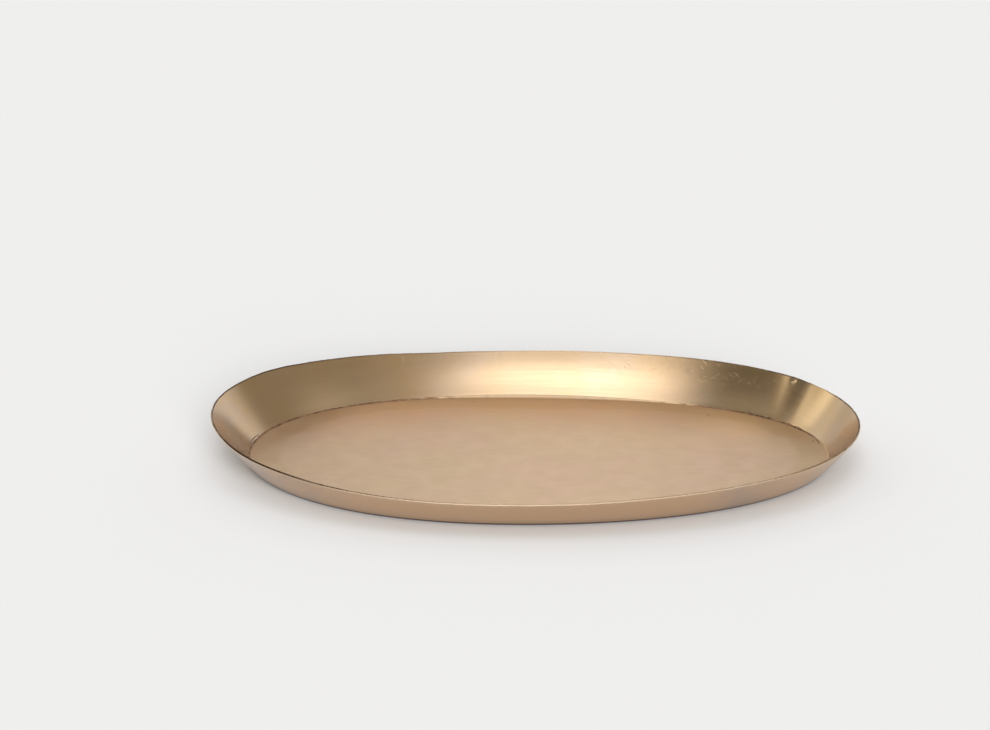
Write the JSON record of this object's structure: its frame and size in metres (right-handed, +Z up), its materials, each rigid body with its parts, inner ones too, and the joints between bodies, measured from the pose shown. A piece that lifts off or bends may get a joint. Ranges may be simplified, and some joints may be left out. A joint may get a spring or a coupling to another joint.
{
  "type": "tray",
  "caption": "Oval tray in thin brass sheet with a flat floor and a plain flared wall, brazed at the inside corner.",
  "frame": {"origin": "under the middle of the tray's overall box, on the plane it rests on", "axes": "+X along the tray's length, +Y across it, +Z up"},
  "size_m": [0.2996, 0.1694, 0.0221],
  "materials": {
    "floor_brass": "satin, with a faint pinkish and yellowish patina",
    "wall_brass": "satin, brushed along its length",
    "braze": "dull, tarnished brazing alloy"
  },
  "bodies": {
    "root": {"floor_plate": "floor_brass", "wall_strip_back": "wall_brass", "wall_strip_front": "wall_brass", "seam_braze_left": "braze", "seam_braze_right": "braze", "corner_braze": "braze"}
  },
  "joints": []
}
